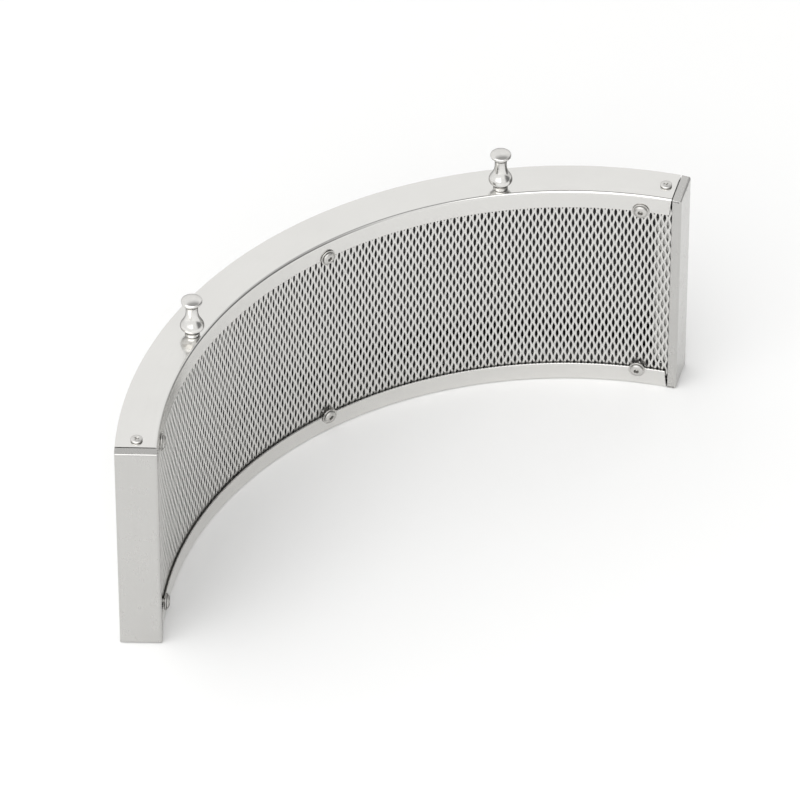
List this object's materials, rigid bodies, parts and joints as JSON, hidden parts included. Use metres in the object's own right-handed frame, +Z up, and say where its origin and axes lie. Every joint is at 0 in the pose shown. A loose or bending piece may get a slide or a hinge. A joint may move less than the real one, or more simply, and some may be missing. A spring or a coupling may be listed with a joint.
{
  "type": "fireplace screen",
  "caption": "Low curved fireplace screen: arc-shaped stainless steel box with an expanded-metal inner face, folded end caps and turned lifting knobs.",
  "frame": {"origin": "on the surface the screen stands on, at the middle of its outline", "axes": "+X to the right along the screen, +Y towards its outer, convex side, +Z up; the hollow mesh side faces -Y"},
  "size_m": [0.4582, 0.1308, 0.1892],
  "materials": {
    "sheet_steel": "fine brushed stainless steel",
    "expanded_metal": "bright expanded metal with cut edges",
    "bracket_steel": "plain mill finish, hidden inside the caps",
    "knob_steel": "turned and polished stainless steel",
    "fastener_steel": "plain bright stainless",
    "rivet_steel": "satin stainless blind rivets and flat washers"
  },
  "bodies": {
    "root": {"back_sheet": "sheet_steel", "top_rail": "sheet_steel", "bottom_rail": "sheet_steel", "mesh_panel": "expanded_metal", "left_end_cap": "sheet_steel", "left_end_bracket": "bracket_steel", "left_knob": "knob_steel", "left_knob_screw": "fastener_steel", "left_knob_washer": "fastener_steel", "left_top_screw": "fastener_steel", "left_bottom_screw": "fastener_steel", "right_end_cap": "sheet_steel", "right_end_bracket": "bracket_steel", "right_knob": "knob_steel", "right_knob_screw": "fastener_steel", "right_knob_washer": "fastener_steel", "right_top_screw": "fastener_steel", "right_bottom_screw": "fastener_steel", "upper_left_rivet": "rivet_steel", "upper_left_washer": "rivet_steel", "upper_middle_rivet": "rivet_steel", "upper_middle_washer": "rivet_steel", "upper_right_rivet": "rivet_steel", "upper_right_washer": "rivet_steel", "lower_left_rivet": "rivet_steel", "lower_left_washer": "rivet_steel", "lower_middle_rivet": "rivet_steel", "lower_middle_washer": "rivet_steel", "lower_right_rivet": "rivet_steel", "lower_right_washer": "rivet_steel"}
  },
  "joints": []
}
